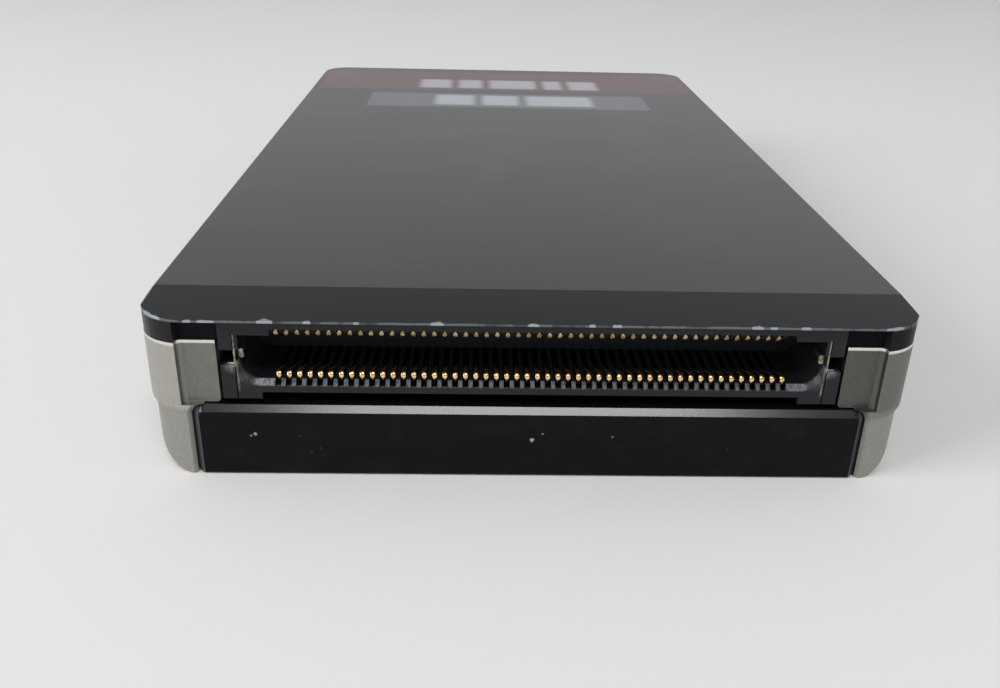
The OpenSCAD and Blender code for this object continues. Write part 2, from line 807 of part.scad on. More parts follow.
module left_ground_clip() {
    color("#b9b48a") placed() mirror([1, 0, 0]) ground_clip();
}

module right_ground_clip() {
    color("#b9b48a") placed() ground_clip();
}

// The bar that keeps the upper row's tails in line, held between the connector's arms
module tail_comb() {
    slot_t = 2 * contact_t;
    color("#3a3d41") placed() difference() {
        translate([-arm_in, upper_tail_y - comb_bar_w / 2, comb_bar_z])
            cube([2 * arm_in, comb_bar_w, comb_bar_h]);
        for (i = [0 : contact_count - 1])
            translate([contact_x(i) - tail_slot_w / 2, upper_tail_y - slot_t / 2, board_top])
                cube([tail_slot_w, slot_t, 2 * connector_h]);
    }
}

// The connector screws come up through the board into the connector's feet
module at_connector_screws() {
    x = connector_half - foot_w + small_screw_r + hole_gap;
    for (side = [-1, 1]) translate([side * x, connector_back - small_screw_back, board_z]) children();
}

module connector_screws() {
    color("#8d9094") placed() at_connector_screws() {
        translate([0, 0, -small_head_h]) cylinder(r = small_head_r, h = small_head_h);
        cylinder(r = small_screw_r, h = board_t + small_screw_grip);
    }
}

module main_board() {
    color("#1f4a36") placed() difference() {
        translate([-board_half, board_front, board_z])
            cube([2 * board_half, board_rear - board_front, board_t]);
        at_board_screws() cylinder(r = screw_r + hole_gap, h = drive_height);
        translate([0, 0, -past]) at_connector_screws()
            cylinder(r = small_screw_r + hole_gap, h = board_t + 2 * past);
    }
}

module insulator_sheet() {
    margin = 0.3;
    half = board_screw_x - post_r - margin;
    rear = drive_length - frame_margin - ledge_reach - margin;
    color("#d8c68a") placed() translate([-half, plate_t + margin, floor_t])
        cube([2 * half, rear - plate_t - margin, sheet_t]);
}

module board_screws() {
    color("#9a9da1") placed() translate([0, 0, board_top]) at_board_screws() difference() {
        union() {
            cylinder(r = head_r, h = head_h);
            translate([0, 0, -board_t - screw_grip])
                cylinder(r = screw_r, h = board_t + screw_grip + head_h / 2);
        }
        hex_socket();
    }
}

// The hex socket in the head of a board screw or module screw
module hex_socket() {
    translate([0, 0, head_h * (1 - hex_depth_share)]) cylinder(r = hex_r, h = head_h, $fn = 6);
}

module bridge_chip() {
    color("#26272a") placed() translate([-bridge_w / 2, bridge_y - bridge_w / 2, board_top])
        cube([bridge_w, bridge_w, bridge_t]);
}

module bridge_heat_pad() {
    color("#8fa0b0") placed() translate([-bridge_w / 2, bridge_y - bridge_w / 2, board_top + bridge_t])
        cube([bridge_w, bridge_w, bridge_pad_t]);
}

module power_inductors() {
    pitch = inductor_w + power_gap;
    color("#4a4c50") placed() both_sides() for (y = [bridge_y - pitch / 2, bridge_y + pitch / 2])
        translate([inductor_x - inductor_w / 2, y - inductor_w / 2, board_top])
            cube([inductor_w, inductor_w, inductor_h]);
}

module hold_up_capacitors() {
    pitch = capacitor_l + capacitor_gap;
    color("#c8902f") placed() both_sides() for (i = [0 : 1])
        translate([capacitor_x - capacitor_w / 2, capacitor_y + i * pitch, board_top])
            cube([capacitor_w, capacitor_l, capacitor_h]);
}

module module_socket() {
    color("#1b1c1e") placed() translate([module_x, 0, 0]) difference() {
        translate([-module_w / 2, socket_y, board_top]) cube([module_w, socket_l, socket_h]);
        translate([-module_w / 2 - past, module_y - slide_gap, module_z - slide_gap])
            cube([module_w + 2 * past, socket_l, module_t + 2 * slide_gap]);
    }
}

module left_module_socket() {
    mirror([1, 0, 0]) module_socket();
}

module right_module_socket() {
    module_socket();
}

// A flash module's board, with the half-round screw notch at its free end
module module_board() {
    color("#20503c") placed() translate([module_x, 0, module_z]) difference() {
        translate([-module_w / 2, module_y, 0]) cube([module_w, module_l, module_t]);
        translate([0, module_screw_y, -past]) cylinder(r = screw_r + hole_gap, h = module_t + 2 * past);
    }
}

module left_module_board() {
    mirror([1, 0, 0]) module_board();
}

module right_module_board() {
    module_board();
}

module module_controller() {
    color("#2a2b2e") placed() translate([module_x - controller_w / 2, controller_y, chip_z])
        cube([controller_w, controller_w, chip_t]);
}

module left_module_controller() {
    mirror([1, 0, 0]) module_controller();
}

module right_module_controller() {
    module_controller();
}

module memory_chips() {
    color("#242528") placed() for (i = [0 : memory_count - 1])
        translate([module_x - memory_w / 2, memory_y + i * (memory_l + memory_gap), chip_z])
            cube([memory_w, memory_l, chip_t]);
}

module left_memory_chips() {
    mirror([1, 0, 0]) memory_chips();
}

module right_memory_chips() {
    memory_chips();
}

module heat_pad() {
    color("#9fb0bd") placed() translate([module_x - memory_w / 2, memory_y, chip_z + chip_t])
        cube([memory_w, memory_end - memory_y, heat_pad_t]);
}

module left_heat_pad() {
    mirror([1, 0, 0]) heat_pad();
}

module right_heat_pad() {
    heat_pad();
}

module at_module_screws() {
    for (x = [-module_x, module_x]) translate([x, module_screw_y, board_top]) children();
}

module module_posts() {
    color("#c7b06a") placed() at_module_screws() difference() {
        cylinder(r = post_r, h = module_lift);
        translate([0, 0, post_floor - join]) cylinder(r = screw_r + hair, h = module_lift);
    }
}

module module_screws() {
    color("#9a9da1") placed() translate([0, 0, module_lift + module_t]) at_module_screws() difference() {
        union() {
            cylinder(r = head_r, h = head_h);
            translate([0, 0, -module_t - post_grip])
                cylinder(r = screw_r, h = module_t + post_grip + head_h / 2);
        }
        hex_socket();
    }
}

top_cover();
side_frame();
bottom_cover();
connector_housing();
upper_contacts();
lower_contacts();
left_ground_clip();
right_ground_clip();
tail_comb();
connector_screws();
main_board();
insulator_sheet();
board_screws();
bridge_chip();
bridge_heat_pad();
power_inductors();
hold_up_capacitors();
left_module_socket();
right_module_socket();
left_module_board();
right_module_board();
left_module_controller();
right_module_controller();
left_memory_chips();
right_memory_chips();
left_heat_pad();
right_heat_pad();
module_posts();
module_screws();
cover_screws();
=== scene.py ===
"""Looks of a removable camera capture drive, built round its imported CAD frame.

Run as a script. It is laid out as an add-on: one operator for each piece or group of like
pieces and one for the stage, which are called in order.
"""

import math

import bmesh
import bpy
import numpy as np
from mathutils import Matrix, Vector


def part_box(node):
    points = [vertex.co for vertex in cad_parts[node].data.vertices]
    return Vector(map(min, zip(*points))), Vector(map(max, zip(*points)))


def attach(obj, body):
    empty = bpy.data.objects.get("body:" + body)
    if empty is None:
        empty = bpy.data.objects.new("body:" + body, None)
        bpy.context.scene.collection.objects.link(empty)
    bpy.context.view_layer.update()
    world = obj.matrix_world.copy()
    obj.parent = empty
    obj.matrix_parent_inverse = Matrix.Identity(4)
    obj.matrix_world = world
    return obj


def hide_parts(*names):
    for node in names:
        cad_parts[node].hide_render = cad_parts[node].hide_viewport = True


bl_info = {
    "name": "Camera capture drive looks",
    "version": (1, 0, 0),
    "blender": (4, 5, 0),
    "location": "View3D > Sidebar > Drive",
    "description": "Finishes the pieces of a solid-state capture drive and lights it",
    "category": "Object",
}

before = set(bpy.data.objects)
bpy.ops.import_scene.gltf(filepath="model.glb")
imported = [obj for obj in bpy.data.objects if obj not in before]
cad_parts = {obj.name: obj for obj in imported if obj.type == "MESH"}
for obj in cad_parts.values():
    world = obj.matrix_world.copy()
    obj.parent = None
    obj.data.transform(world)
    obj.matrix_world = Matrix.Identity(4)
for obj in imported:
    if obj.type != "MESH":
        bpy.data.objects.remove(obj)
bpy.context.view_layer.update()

MM = 0.001
BODY = "root"

# Softened copies: edges sharper than this are rounded, nearer points are merged, flatter
# creases are dissolved
SHARP = math.radians(28)
MERGE = 0.002 * MM
FLAT = math.radians(0.3)

# Spans of noise that become the full change of a colour and of a roughness
COLOUR_SPAN = (0.35, 0.65)
FINISH_SPAN = (0.3, 0.7)

LID_LOW, LID_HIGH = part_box("top_cover")
FRAME_LOW, FRAME_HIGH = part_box("side_frame")
PLATE_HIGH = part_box("bottom_cover")[1]
PORT_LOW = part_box("connector_housing")[0]
FRONT_Y = FRAME_LOW.y
# The tabs and the wall behind the lip end this far out, where the corner rounding starts
INSIDE_MM = 33.2


def linear(hex_colour):
    """An sRGB hex colour as linear RGBA."""
    channels = [int(hex_colour[i : i + 2], 16) / 255 for i in (1, 3, 5)]
    return tuple(c / 12.92 if c <= 0.04045 else ((c + 0.055) / 1.055) ** 2.4 for c in channels) + (1.0,)


BLACK = linear("#000000")
WHITE = linear("#ffffff")


def scaled(colour, *shares):
    """A colour with its channels multiplied, all by one share or each by its own."""
    shares = shares * 3 if len(shares) == 1 else shares
    return tuple(c * share for c, share in zip(colour, shares)) + (1.0,)


def metres(lengths_mm, start=0.0):
    """Lengths in mm as places in m, counted from start."""
    return tuple(start + length * MM for length in lengths_mm)


def colour_property(name, description, hex_colour):
    return bpy.props.FloatVectorProperty(
        name=name, description=description, default=linear(hex_colour), size=4, min=0, max=1, subtype="COLOR"
    )


def length_property(name, description, millimetres):
    return bpy.props.FloatProperty(
        name=name, description=description, default=millimetres * MM, min=0, unit="LENGTH", precision=5
    )


class DriveColours(bpy.types.PropertyGroup):
    lid: colour_property("Lid coat", "Satin black coat of the lid", "#1d1e20")
    plate: colour_property("Plate coat", "Satin black coat of the floor and front plate", "#0c0d10")
    bare: colour_property("Bare metal", "Aluminium where the black coat is chipped", "#aaadb1")
    silver: colour_property("Frame", "Blasted and clear anodised aluminium", "#d6d3cb")
    moulding: colour_property("Connector moulding", "Glass-filled connector plastic", "#15181a")
    gold: colour_property("Contact plating", "Gold plating of the contacts", "#e0b269")
    clip: colour_property("Clip plating", "Dull plating of the ground clips", "#a5a28e")
    red_band: colour_property("Red band", "Printed band near the rear of the lid", "#4c2426")
    grey_band: colour_property("Grey band", "Printed band in front of the red one", "#55585b")
    pale_bar: colour_property("Pale bars", "Plain bars printed over the bands", "#d4d9e0")
    paper: colour_property("Studio floor", "Pale paper that the drive stands on", "#e8e7e5")


class DriveSizes(bpy.types.PropertyGroup):
    frame_round: length_property("Frame edge", "Radius on the side frame's edges", 0.24)
    lid_round: length_property("Lid edge", "Radius on the lid's edges", 0.06)
    plate_round: length_property("Plate edge", "Radius on the front plate's edges", 0.07)
    port_round: length_property("Moulding edge", "Radius on the connector's edges", 0.03)
    screw_round: length_property("Screw edge", "Radius on the screws' edges", 0.05)
    contact_width: length_property("Contact width", "Width of one contact", 0.44)
    contact_thickness: length_property("Contact thickness", "Thickness of the contact strip", 0.2)
    contact_pitch: length_property("Contact pitch", "Distance between neighbouring contacts", 0.985)
    tip_radius: length_property("Tip radius", "Bend radius at a contact's tip", 0.52)
    chip_depth: length_property("Chip depth", "Reach of the deepest chip up the lid's ramp", 0.5)


def colours():
    return bpy.context.scene.drive_colours


def sizes():
    return bpy.context.scene.drive_sizes


def add_node(tree, kind, inputs=None, **settings):
    """Adds one node with its settings; an input is a plain value or another node's socket."""
    node = tree.nodes.new(kind)
    for key, value in settings.items():
        setattr(node, key, value)
    for key, value in (inputs or {}).items():
        if isinstance(value, bpy.types.NodeSocket):
            tree.links.new(value, node.inputs[key])
        else:
            node.inputs[key].default_value = value
    return node


def new_material(name, **sockets):
    """A material with one Principled shader, its constant values set on the sockets."""
    material = bpy.data.materials.new(name)
    material.use_nodes = True
    tree = material.node_tree
    shader = tree.nodes["Principled BSDF"]
    for key, value in sockets.items():
        shader.inputs[key.replace("_", " ")].default_value = value
    place = add_node(tree, "ShaderNodeTexCoord").outputs["Object"]
    return material, tree, shader, place


def noise(tree, place, size_mm, detail=2.0, stretch=(1, 1, 1)):
    """Noise whose features are about size_mm across, divided by stretch along each axis."""
    scaled_place = add_node(tree, "ShaderNodeMapping", {"Vector": place, "Scale": stretch}).outputs[0]
    return add_node(
        tree, "ShaderNodeTexNoise", {"Vector": scaled_place, "Scale": 1 / (size_mm * MM), "Detail": detail}
    ).outputs[0]


def ramp(tree, value, low, high, to_low=0.0, to_high=1.0):
    """A smooth step from to_low at low to to_high at high."""
    return add_node(
        tree,
        "ShaderNodeMapRange",
        {"Value": value, "From Min": low, "From Max": high, "To Min": to_low, "To Max": to_high},
        interpolation_type="SMOOTHSTEP",
    ).outputs[0]


def past(tree, value, level, soft, below=0.0, above=1.0):
    """A smooth step from below to above where the value passes the level, soft wide on each side."""
    return ramp(tree, value, level - soft, level + soft, below, above)


def fade(tree, mask, at_0, at_1):
    """What a mask of 0 to 1 stands for: at_0 outside it and at_1 within."""
    return ramp(tree, mask, 0, 1, at_0, at_1)


def maths(tree, operation, first, second=0.0):
    return add_node(tree, "ShaderNodeMath", {0: first, 1: second}, operation=operation).outputs[0]


def product(tree, first, *others):
    for other in others:
        first = maths(tree, "MULTIPLY", first, other)
    return first


def between(tree, value, low, high, soft):
    """1 where value lies from low to high, falling to 0 over a soft edge."""
    rising = past(tree, value, low, soft)
    falling = past(tree, value, high, soft, below=1.0, above=0.0)
    return product(tree, rising, falling)


def mix(tree, factor, first, second):
    return add_node(
        tree, "ShaderNodeMix", {"Factor": factor, "A": first, "B": second}, data_type="RGBA"
    ).outputs["Result"]


def use(tree, shader, **links):
    """Feeds computed values into the shader's sockets."""
    for key, value in links.items():
        tree.links.new(value, shader.inputs[key.replace("_", " ")])


def bump(tree, height, depth_mm):
    """The normal of a surface whose height of 0 to 1 stands for that depth."""
    return add_node(tree, "ShaderNodeBump", {"Height": height, "Distance": depth_mm * MM}).outputs[0]


def axes(tree, vector):
    return add_node(tree, "ShaderNodeSeparateXYZ", {0: vector}).outputs


def distance(tree, first, second):
    return add_node(
        tree, "ShaderNodeVectorMath", {0: first, 1: second}, operation="DISTANCE"
    ).outputs["Value"]


def inside(tree, x):
    """1 between the frame's corner roundings and 0 on them."""
    out = maths(tree, "ABSOLUTE", x)
    return past(tree, out, INSIDE_MM * MM, soft=0.05 * MM, below=1.0, above=0.0)


def dress(piece, material):
    piece.data.materials.clear()
    piece.data.materials.append(material)


def add_object(name, data):
    thing = bpy.data.objects.new(name, data)
    bpy.context.scene.collection.objects.link(thing)
    return thing


def softened_copy(node, name, radius, segments=2):
    """A copy of a CAD node with its flat faces made whole and its edges rounded."""
    mesh = bpy.data.meshes.new(name)
    work = bmesh.new()
    work.from_mesh(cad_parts[node].data)
    bmesh.ops.remove_doubles(work, verts=work.verts, dist=MERGE)
    bmesh.ops.dissolve_limit(work, angle_limit=FLAT, verts=work.verts, edges=work.edges)
    work.to_mesh(mesh)
    work.free()
    piece = add_object(name, mesh)
    mesh.shade_smooth()
    mesh.set_sharp_from_angle(angle=SHARP)
    edge = piece.modifiers.new("edge", "BEVEL")
    edge.width = radius
    edge.segments = segments
    edge.limit_method = "ANGLE"
    edge.angle_limit = SHARP
    # Large faces keep their own normals, so that no crease shows on the round corners
    piece.modifiers.new("shading", "WEIGHTED_NORMAL").keep_sharp = True
    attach(piece, BODY)
    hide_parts(node)
    return piece


class StagePart(bpy.types.Operator):
    """Lays the pale floor, sets the soft lights and aims the camera as the photograph was taken"""

    bl_idname = "drive.stage"
    bl_label = "Studio and camera"

    # Half the floor's side in m, and how far it lies below the drive
    floor_half_m, floor_drop_mm = 3.0, 0.02
    # Size of the paper's mottling in mm, and its darker tone as a share of the paler one
    mottle_mm, mottle_share = 90, 0.97
    room_colour = "#fafbff"
    # The room's brightness: by height of the line of sight and from left to right
    low_z, high_z, low_light, high_light = 0.10, 0.50, 1.26, 0.42
    left_light, right_light = 1.04, 1.09
    # Name, place and size in m, and power in W.
    # The long strip over the front gives the 45-degree faces their bright line.
    lamps = (
        ("strip_lamp", (0.036, -0.485, 0.75), (0.42, 0.10), 2.25),
        ("left_window", (-0.75, -0.30, 0.40), (0.5, 0.45), 4.0),
    )
    focal_px, picture_px = 969.11, 1000
    sensor_mm, clip_start_m = 36, 0.01
    # From the middle of the drive's front edge on the floor
    camera_mm = (-5.76, -80.66, 52.73)
    pitch_deg, yaw_deg, roll_deg = 25.42, 1.79, 1.45

    def execute(self, context):
        self.lay_floor()
        self.set_room(context)
        for lamp in self.lamps:
            self.hang_lamp(*lamp)
        self.aim_camera(context)
        return {"FINISHED"}

    def lay_floor(self):
        half, level = self.floor_half_m, -self.floor_drop_mm * MM
        mesh = bpy.data.meshes.new("studio_floor")
        corners = [(-half, -half, level), (half, -half, level), (half, half, level), (-half, half, level)]
        mesh.from_pydata(corners, [], [(0, 1, 2, 3)])
        floor = add_object("studio_floor", mesh)
        # Matt paper: even and pale, with the faint tooth of its fibres
        material, tree, shader, place = new_material("matt_paper", Roughness=0.9, Specular_IOR_Level=0.2)
        pale = colours().paper
        mottle = noise(tree, place, self.mottle_mm)
        use(tree, shader, Base_Color=mix(tree, mottle, pale, scaled(pale, self.mottle_share)))
        dress(floor, material)

    def set_room(self, context):
        """The room: brightest near the horizon, and a little brighter on the right than on the left."""
        world = bpy.data.worlds.new("studio")
        context.scene.world = world
        world.use_nodes = True
        tree = world.node_tree
        x, _, z = axes(tree, add_node(tree, "ShaderNodeTexCoord").outputs["Generated"])
        height = ramp(tree, z, self.low_z, self.high_z, self.low_light, self.high_light)
        side = ramp(tree, x, -1.0, 1.0, self.left_light, self.right_light)
        background = tree.nodes["Background"]
        background.inputs["Color"].default_value = linear(self.room_colour)
        tree.links.new(product(tree, height, side), background.inputs["Strength"])

    def hang_lamp(self, name, place, size, watts):
        light = bpy.data.lights.new(name, "AREA")
        light.shape = "RECTANGLE"
        light.size, light.size_y = size
        light.energy = watts
        lamp = add_object(name, light)
        lamp.location = place
        lamp.rotation_euler = Vector(place).to_track_quat("Z", "Y").to_euler()

    def aim_camera(self, context):
        pitch, yaw, roll = (math.radians(a) for a in (self.pitch_deg, self.yaw_deg, self.roll_deg))
        ahead = Vector((math.sin(yaw) * math.cos(pitch), math.cos(yaw) * math.cos(pitch), -math.sin(pitch)))
        right = Vector((math.cos(yaw), -math.sin(yaw), 0))
        up = right.cross(ahead)
        turned_right = right * math.cos(roll) + up * math.sin(roll)
        turned_up = up * math.cos(roll) - right * math.sin(roll)
        data = bpy.data.cameras.new("camera")
        data.sensor_width = self.sensor_mm
        data.lens = self.focal_px * self.sensor_mm / self.picture_px
        data.clip_start = self.clip_start_m
        camera = add_object("camera", data)
        x, y, z = self.camera_mm
        turn = Matrix((turned_right, turned_up, -ahead)).transposed().to_4x4()
        camera.matrix_world = Matrix.Translation((x * MM, FRONT_Y + y * MM, z * MM)) @ turn
        context.scene.camera = camera


class LidPart(bpy.types.Operator):
    """Makes the black lid with its chipped front edge and printed bands"""

    bl_idname = "drive.lid"
    bl_label = "Lid"

    # Behind the front, in mm: where the ramp meets the flat top, and the wall under the lip
    crease_mm, recess_mm = 7.45, (1.2, 1.4)
    # From the top, in mm: where the skirt's thinner coat starts and where the chips end
    skirt_mm, lip_mm = (-0.9, -0.75), (-0.72, -0.6)
    # The skirt's share of the shine from left to right, and the recess's shine and painted shade
    skirt_shine, recess_shine, recess_dark = (0.9, 0.2), 0.45, 0.45
    ramp_shine, top_shine = 0.13, 0.46
    # Patches of the coat: size in mm, the paler tone as a share of the darker one, and roughness
    mottle_mm, mottle_share = 30, 1.25
    patch_mm, patch_span, patch_rough = 14, (0.4, 1.6), (0.30, 0.40)
    grain_mm, grain_depth_mm = 0.16, 0.0035
    bare_metallic = 0.9
    # Heights about the top that the prints are kept to
    top_mm = (-0.1, 1)
    # Printed bands and the plain pale bars over them: across from and to, along from and to, in mm
    red_band_mm = (-36, 36, 108, 126.5)
    grey_band_mm = (-25, 25.5, 92.5, 104.5)
    bars_mm = (
        (-16.5, -10.5, 110, 118.5), (-9, -4.5, 110, 118.5), (-3, 6, 110, 118.5), (7.5, 11, 110, 118.5),
        (12.5, 18, 110, 118.5), (-13, -6, 94.5, 103), (-4.5, 2, 94.5, 103), (3.5, 15.5, 94.5, 103),
    )
    # Softness of the bands' and the bars' edges in mm, and how strong the bars are
    band_soft_mm, bar_soft_mm, bar_strength = 0.3, 0.9, 0.47
    # Where the lip is chipped: place along it and half length in mm, and depth as a share of the
    # deepest chip's
    chips = (
        (-35.2, 1.3, 0.4), (-31.7, 0.5, 0.4), (-30.0, 1.1, 0.35), (-24.7, 0.85, 1.0), (-20.9, 0.45, 0.6),
        (-16.4, 0.4, 0.25), (-9.0, 0.75, 0.7), (-0.2, 0.65, 0.5), (5.2, 0.4, 0.35), (7.5, 0.55, 0.5),
        (20.5, 0.7, 0.6), (22.0, 0.45, 0.4), (25.0, 0.65, 0.4), (33.4, 1.3, 0.35),
    )
    # Share of a chip's length that has its full depth, and the depths where a place starts to
    # count as chipped
    chip_floor, chip_span = 0.3, (0.05, 0.25)
    # The thin rubbed line between chips: size of its changes in mm, their span, its depth as a
    # share of the deepest chip's, and its strength
    line_mm, line_span, line_depth, line_strength = 2.5, (0.35, 0.7), (0.02, 0.2), 0.3
    # Raggedness of the wear: size in mm, shares of the depth, and how sharply it ends
    ragged_mm, ragged_share, ragged_edge = 0.45, (0.4, 1.3), (-0.06, 0.02)
    # Radius of the lid's corners in plan
    corner_mm = 4.9

    def execute(self, context):
        lid = softened_copy("top_cover", "lid", sizes().lid_round)
        # Satin black anodising: fine blasted grain, a smoother and darker machined ramp in front
        material, tree, shader, place = new_material("satin_black_anodised_lid")
        x, y, z = axes(tree, place)
        top = past(tree, y, FRONT_Y + self.crease_mm * MM, soft=0.08 * MM)
        # The skirt and the wall under the lip shine less than the top: the skirt is coated thinner and
        # duller, and the wall under the overhanging lip is darkened with painted shade
        above_skirt = ramp(tree, z, *metres(self.skirt_mm, LID_HIGH.z))
        on_skirt = ramp(tree, x, LID_LOW.x, LID_HIGH.x, *self.skirt_shine)
        recess = product(
            tree,
            between(tree, y, *metres(self.recess_mm, FRONT_Y), soft=0.02 * MM),
            inside(tree, x),
            fade(tree, above_skirt, 1, 0),
        )
        shine = product(
            tree, mix(tree, above_skirt, on_skirt, WHITE), fade(tree, recess, 1.0, self.recess_shine)
        )
        colour = self.bands(tree, x, y, z, place)
        # Painted shade: the wall under the overhanging lip is darkened towards black
        colour = mix(tree, fade(tree, recess, 0, self.recess_dark), colour, BLACK)
        worn = self.worn(tree, x, y, z, place)
        patchy = maths(tree, "ADD", top, noise(tree, place, self.patch_mm))
        use(
            tree,
            shader,
            Base_Color=mix(tree, worn, colour, colours().bare),
            Metallic=product(tree, worn, self.bare_metallic),
            Roughness=ramp(tree, patchy, *self.patch_span, *self.patch_rough),
            Specular_IOR_Level=product(tree, fade(tree, top, self.ramp_shine, self.top_shine), shine),
            Normal=bump(tree, noise(tree, place, self.grain_mm), self.grain_depth_mm),
        )
        dress(lid, material)
        return {"FINISHED"}

    def bands(self, tree, x, y, z, place):
        """The prints near the rear, as plain fields: a red band, a grey band and pale bars."""
        on_top = between(tree, z, *metres(self.top_mm, LID_HIGH.z), soft=0.02 * MM)

        def field(extent_mm, soft_mm):
            across = between(tree, x, *metres(extent_mm[:2]), soft_mm * MM)
            along = between(tree, y, *metres(extent_mm[2:], FRONT_Y), soft_mm * MM)
            return product(tree, across, along, on_top)

        lid = colours().lid
        colour = mix(tree, noise(tree, place, self.mottle_mm), lid, scaled(lid, self.mottle_share))
        colour = mix(tree, field(self.grey_band_mm, self.band_soft_mm), colour, colours().grey_band)
        colour = mix(tree, field(self.red_band_mm, self.band_soft_mm), colour, colours().red_band)
        bars = 0.0
        for extent_mm in self.bars_mm:
            bars = maths(tree, "MAXIMUM", bars, field(extent_mm, self.bar_soft_mm))
        return mix(tree, product(tree, bars, self.bar_strength), colour, colours().pale_bar)

    def worn(self, tree, x, y, z, place):
        """1 where the coat is gone: near the lip, as deep as the chip at that place is."""
        deep = 0.0
        for middle, half, depth in self.chips:
            away = maths(tree, "ABSOLUTE", maths(tree, "SUBTRACT", x, middle * MM))
            chip = ramp(tree, away, self.chip_floor * half * MM, half * MM, depth, 0.0)
            deep = maths(tree, "MAXIMUM", deep, chip)
        chipped = ramp(tree, deep, *self.chip_span)
        # A thin rubbed line joins the chips, and both are ragged
        line = ramp(tree, noise(tree, place, self.line_mm), *self.line_span, *self.line_depth)
        deep = maths(tree, "MAXIMUM", deep, line)
        ragged = ramp(tree, noise(tree, place, self.ragged_mm, detail=4), *FINISH_SPAN, *self.ragged_share)
        edge = maths(tree, "DIVIDE", self.from_rim(tree, x, y), sizes().chip_depth)
        over = maths(tree, "SUBTRACT", edge, product(tree, deep, ragged))
        near = ramp(tree, over, *self.ragged_edge, to_low=1.0, to_high=0.0)
        above_lip = ramp(tree, z, *metres(self.lip_mm, LID_HIGH.z))
        return product(tree, near, above_lip, fade(tree, chipped, self.line_strength, 1.0))

    def from_rim(self, tree, x, y):
        """Distance inwards from the lid's front edge and its rounded corners, in plan."""
        radius = self.corner_mm * MM
        out_x = maths(tree, "SUBTRACT", maths(tree, "ABSOLUTE", x), LID_HIGH.x - radius)
        out_y = maths(tree, "SUBTRACT", FRONT_Y + radius, y)
        squares = [
            maths(tree, "POWER", maths(tree, "MAXIMUM", out, 0.0), 2.0) for out in (out_x, out_y)
        ]
        return maths(tree, "SUBTRACT", radius, maths(tree, "SQRT", maths(tree, "ADD", *squares)))


class FramePart(bpy.types.Operator):
    """Makes the satin silver side frame"""

    bl_idname = "drive.side_frame"
    bl_label = "Side frame"

    # The tabs' painted shade, where they sit recessed under the lid's lip, in mm: where it sets in
    # and where it ends behind the front, and where it sets in over the plate
    tab_start_mm, tab_end_mm, tab_over_mm = (0.2, 0.7), 1.0, (0.05, 0.25)
    # Heights of the step in the pillars and of the frame's narrow top edge
    step_mm, rim_mm = (6.5, 7.6), (13.7, 14.3)
    # From left to right: how far the tabs are darkened with painted shade, and how much painted
    # shade darkens the pillars above and below the step
    tab_dark, upper_handled, lower_handled = (0.50, 0.38), (0.26, 0.70), (0.38, 0.44)
    # Colour of the pillars' painted shade, paler colour of the top edge as a painted highlight, and the
    # edge's polish
    handled_colour, rim_colour, rim_polish = "#1c1b19", "#e4e2dc", 0.2
    # Cloudy marks and grain: size in mm, stretch, how far they darken the metal, and their finish
    cloud_mm, cloud_stretch, cloud_share = 5, (1, 1, 0.35), 0.82
    cloud_span, cloud_rough = (0.2, 0.8), (0.50, 0.40)
    grain_mm, grain_stretch, grain_dark, grain_depth_mm = 0.14, (1, 1, 0.45), 0.12, 0.009

    def execute(self, context):
        piece = softened_copy(
            "side_frame", "silver_frame", sizes().frame_round, segments=3
        )
        # Blasted aluminium: soft broad reflections with a fine grain and faint cloudy handling marks;
        # the tabs and the pillars are darkened with painted shade, the pillars most on the right above
        # the step, and the narrow top edge is painted paler as a painted highlight
        material, tree, shader, place = new_material("blasted_aluminium", Metallic=1.0)
        x, y, z = axes(tree, place)
        cloud = noise(tree, place, self.cloud_mm, detail=3, stretch=self.cloud_stretch)
        grain = noise(tree, place, self.grain_mm, stretch=self.grain_stretch)

        def sideways(left_right):
            return ramp(tree, x, FRAME_LOW.x, FRAME_HIGH.x, *left_right)

        tab = product(
            tree,
            ramp(tree, y, *metres(self.tab_start_mm, FRONT_Y)),
            past(tree, y, FRONT_Y + self.tab_end_mm * MM, soft=0.02 * MM, below=1, above=0),
            ramp(tree, z, *metres(self.tab_over_mm, PLATE_HIGH.z)),
            inside(tree, x),
        )
        rim = between(tree, z, *metres(self.rim_mm), soft=0.06 * MM)
        over_step = ramp(tree, z, *metres(self.step_mm))
        handled = maths(
            tree,
            "ADD",
            product(tree, sideways(self.upper_handled), over_step),
            product(tree, sideways(self.lower_handled), fade(tree, over_step, 1, 0)),
        )
        silver = colours().silver
        tone = mix(tree, cloud, scaled(silver, self.cloud_share), silver)
        tone = mix(tree, ramp(tree, grain, *COLOUR_SPAN, self.grain_dark, 0.0), tone, BLACK)
        # Painted shade on the tabs, which sit recessed under the lid's lip
        tone = mix(tree, product(tree, tab, sideways(self.tab_dark)), tone, BLACK)
        # Painted shade: the pillars darkened, most on the right above the step
        tone = mix(tree, handled, tone, linear(self.handled_colour))
        rough = ramp(tree, cloud, *self.cloud_span, *self.cloud_rough)
        use(
            tree,
            shader,
            # Painted highlight: the narrow top edge painted paler
            Base_Color=mix(tree, rim, tone, linear(self.rim_colour)),
            Roughness=maths(tree, "SUBTRACT", rough, product(tree, rim, self.rim_polish)),
            Normal=bump(tree, grain, self.grain_depth_mm),
        )
        dress(piece, material)
        return {"FINISHED"}


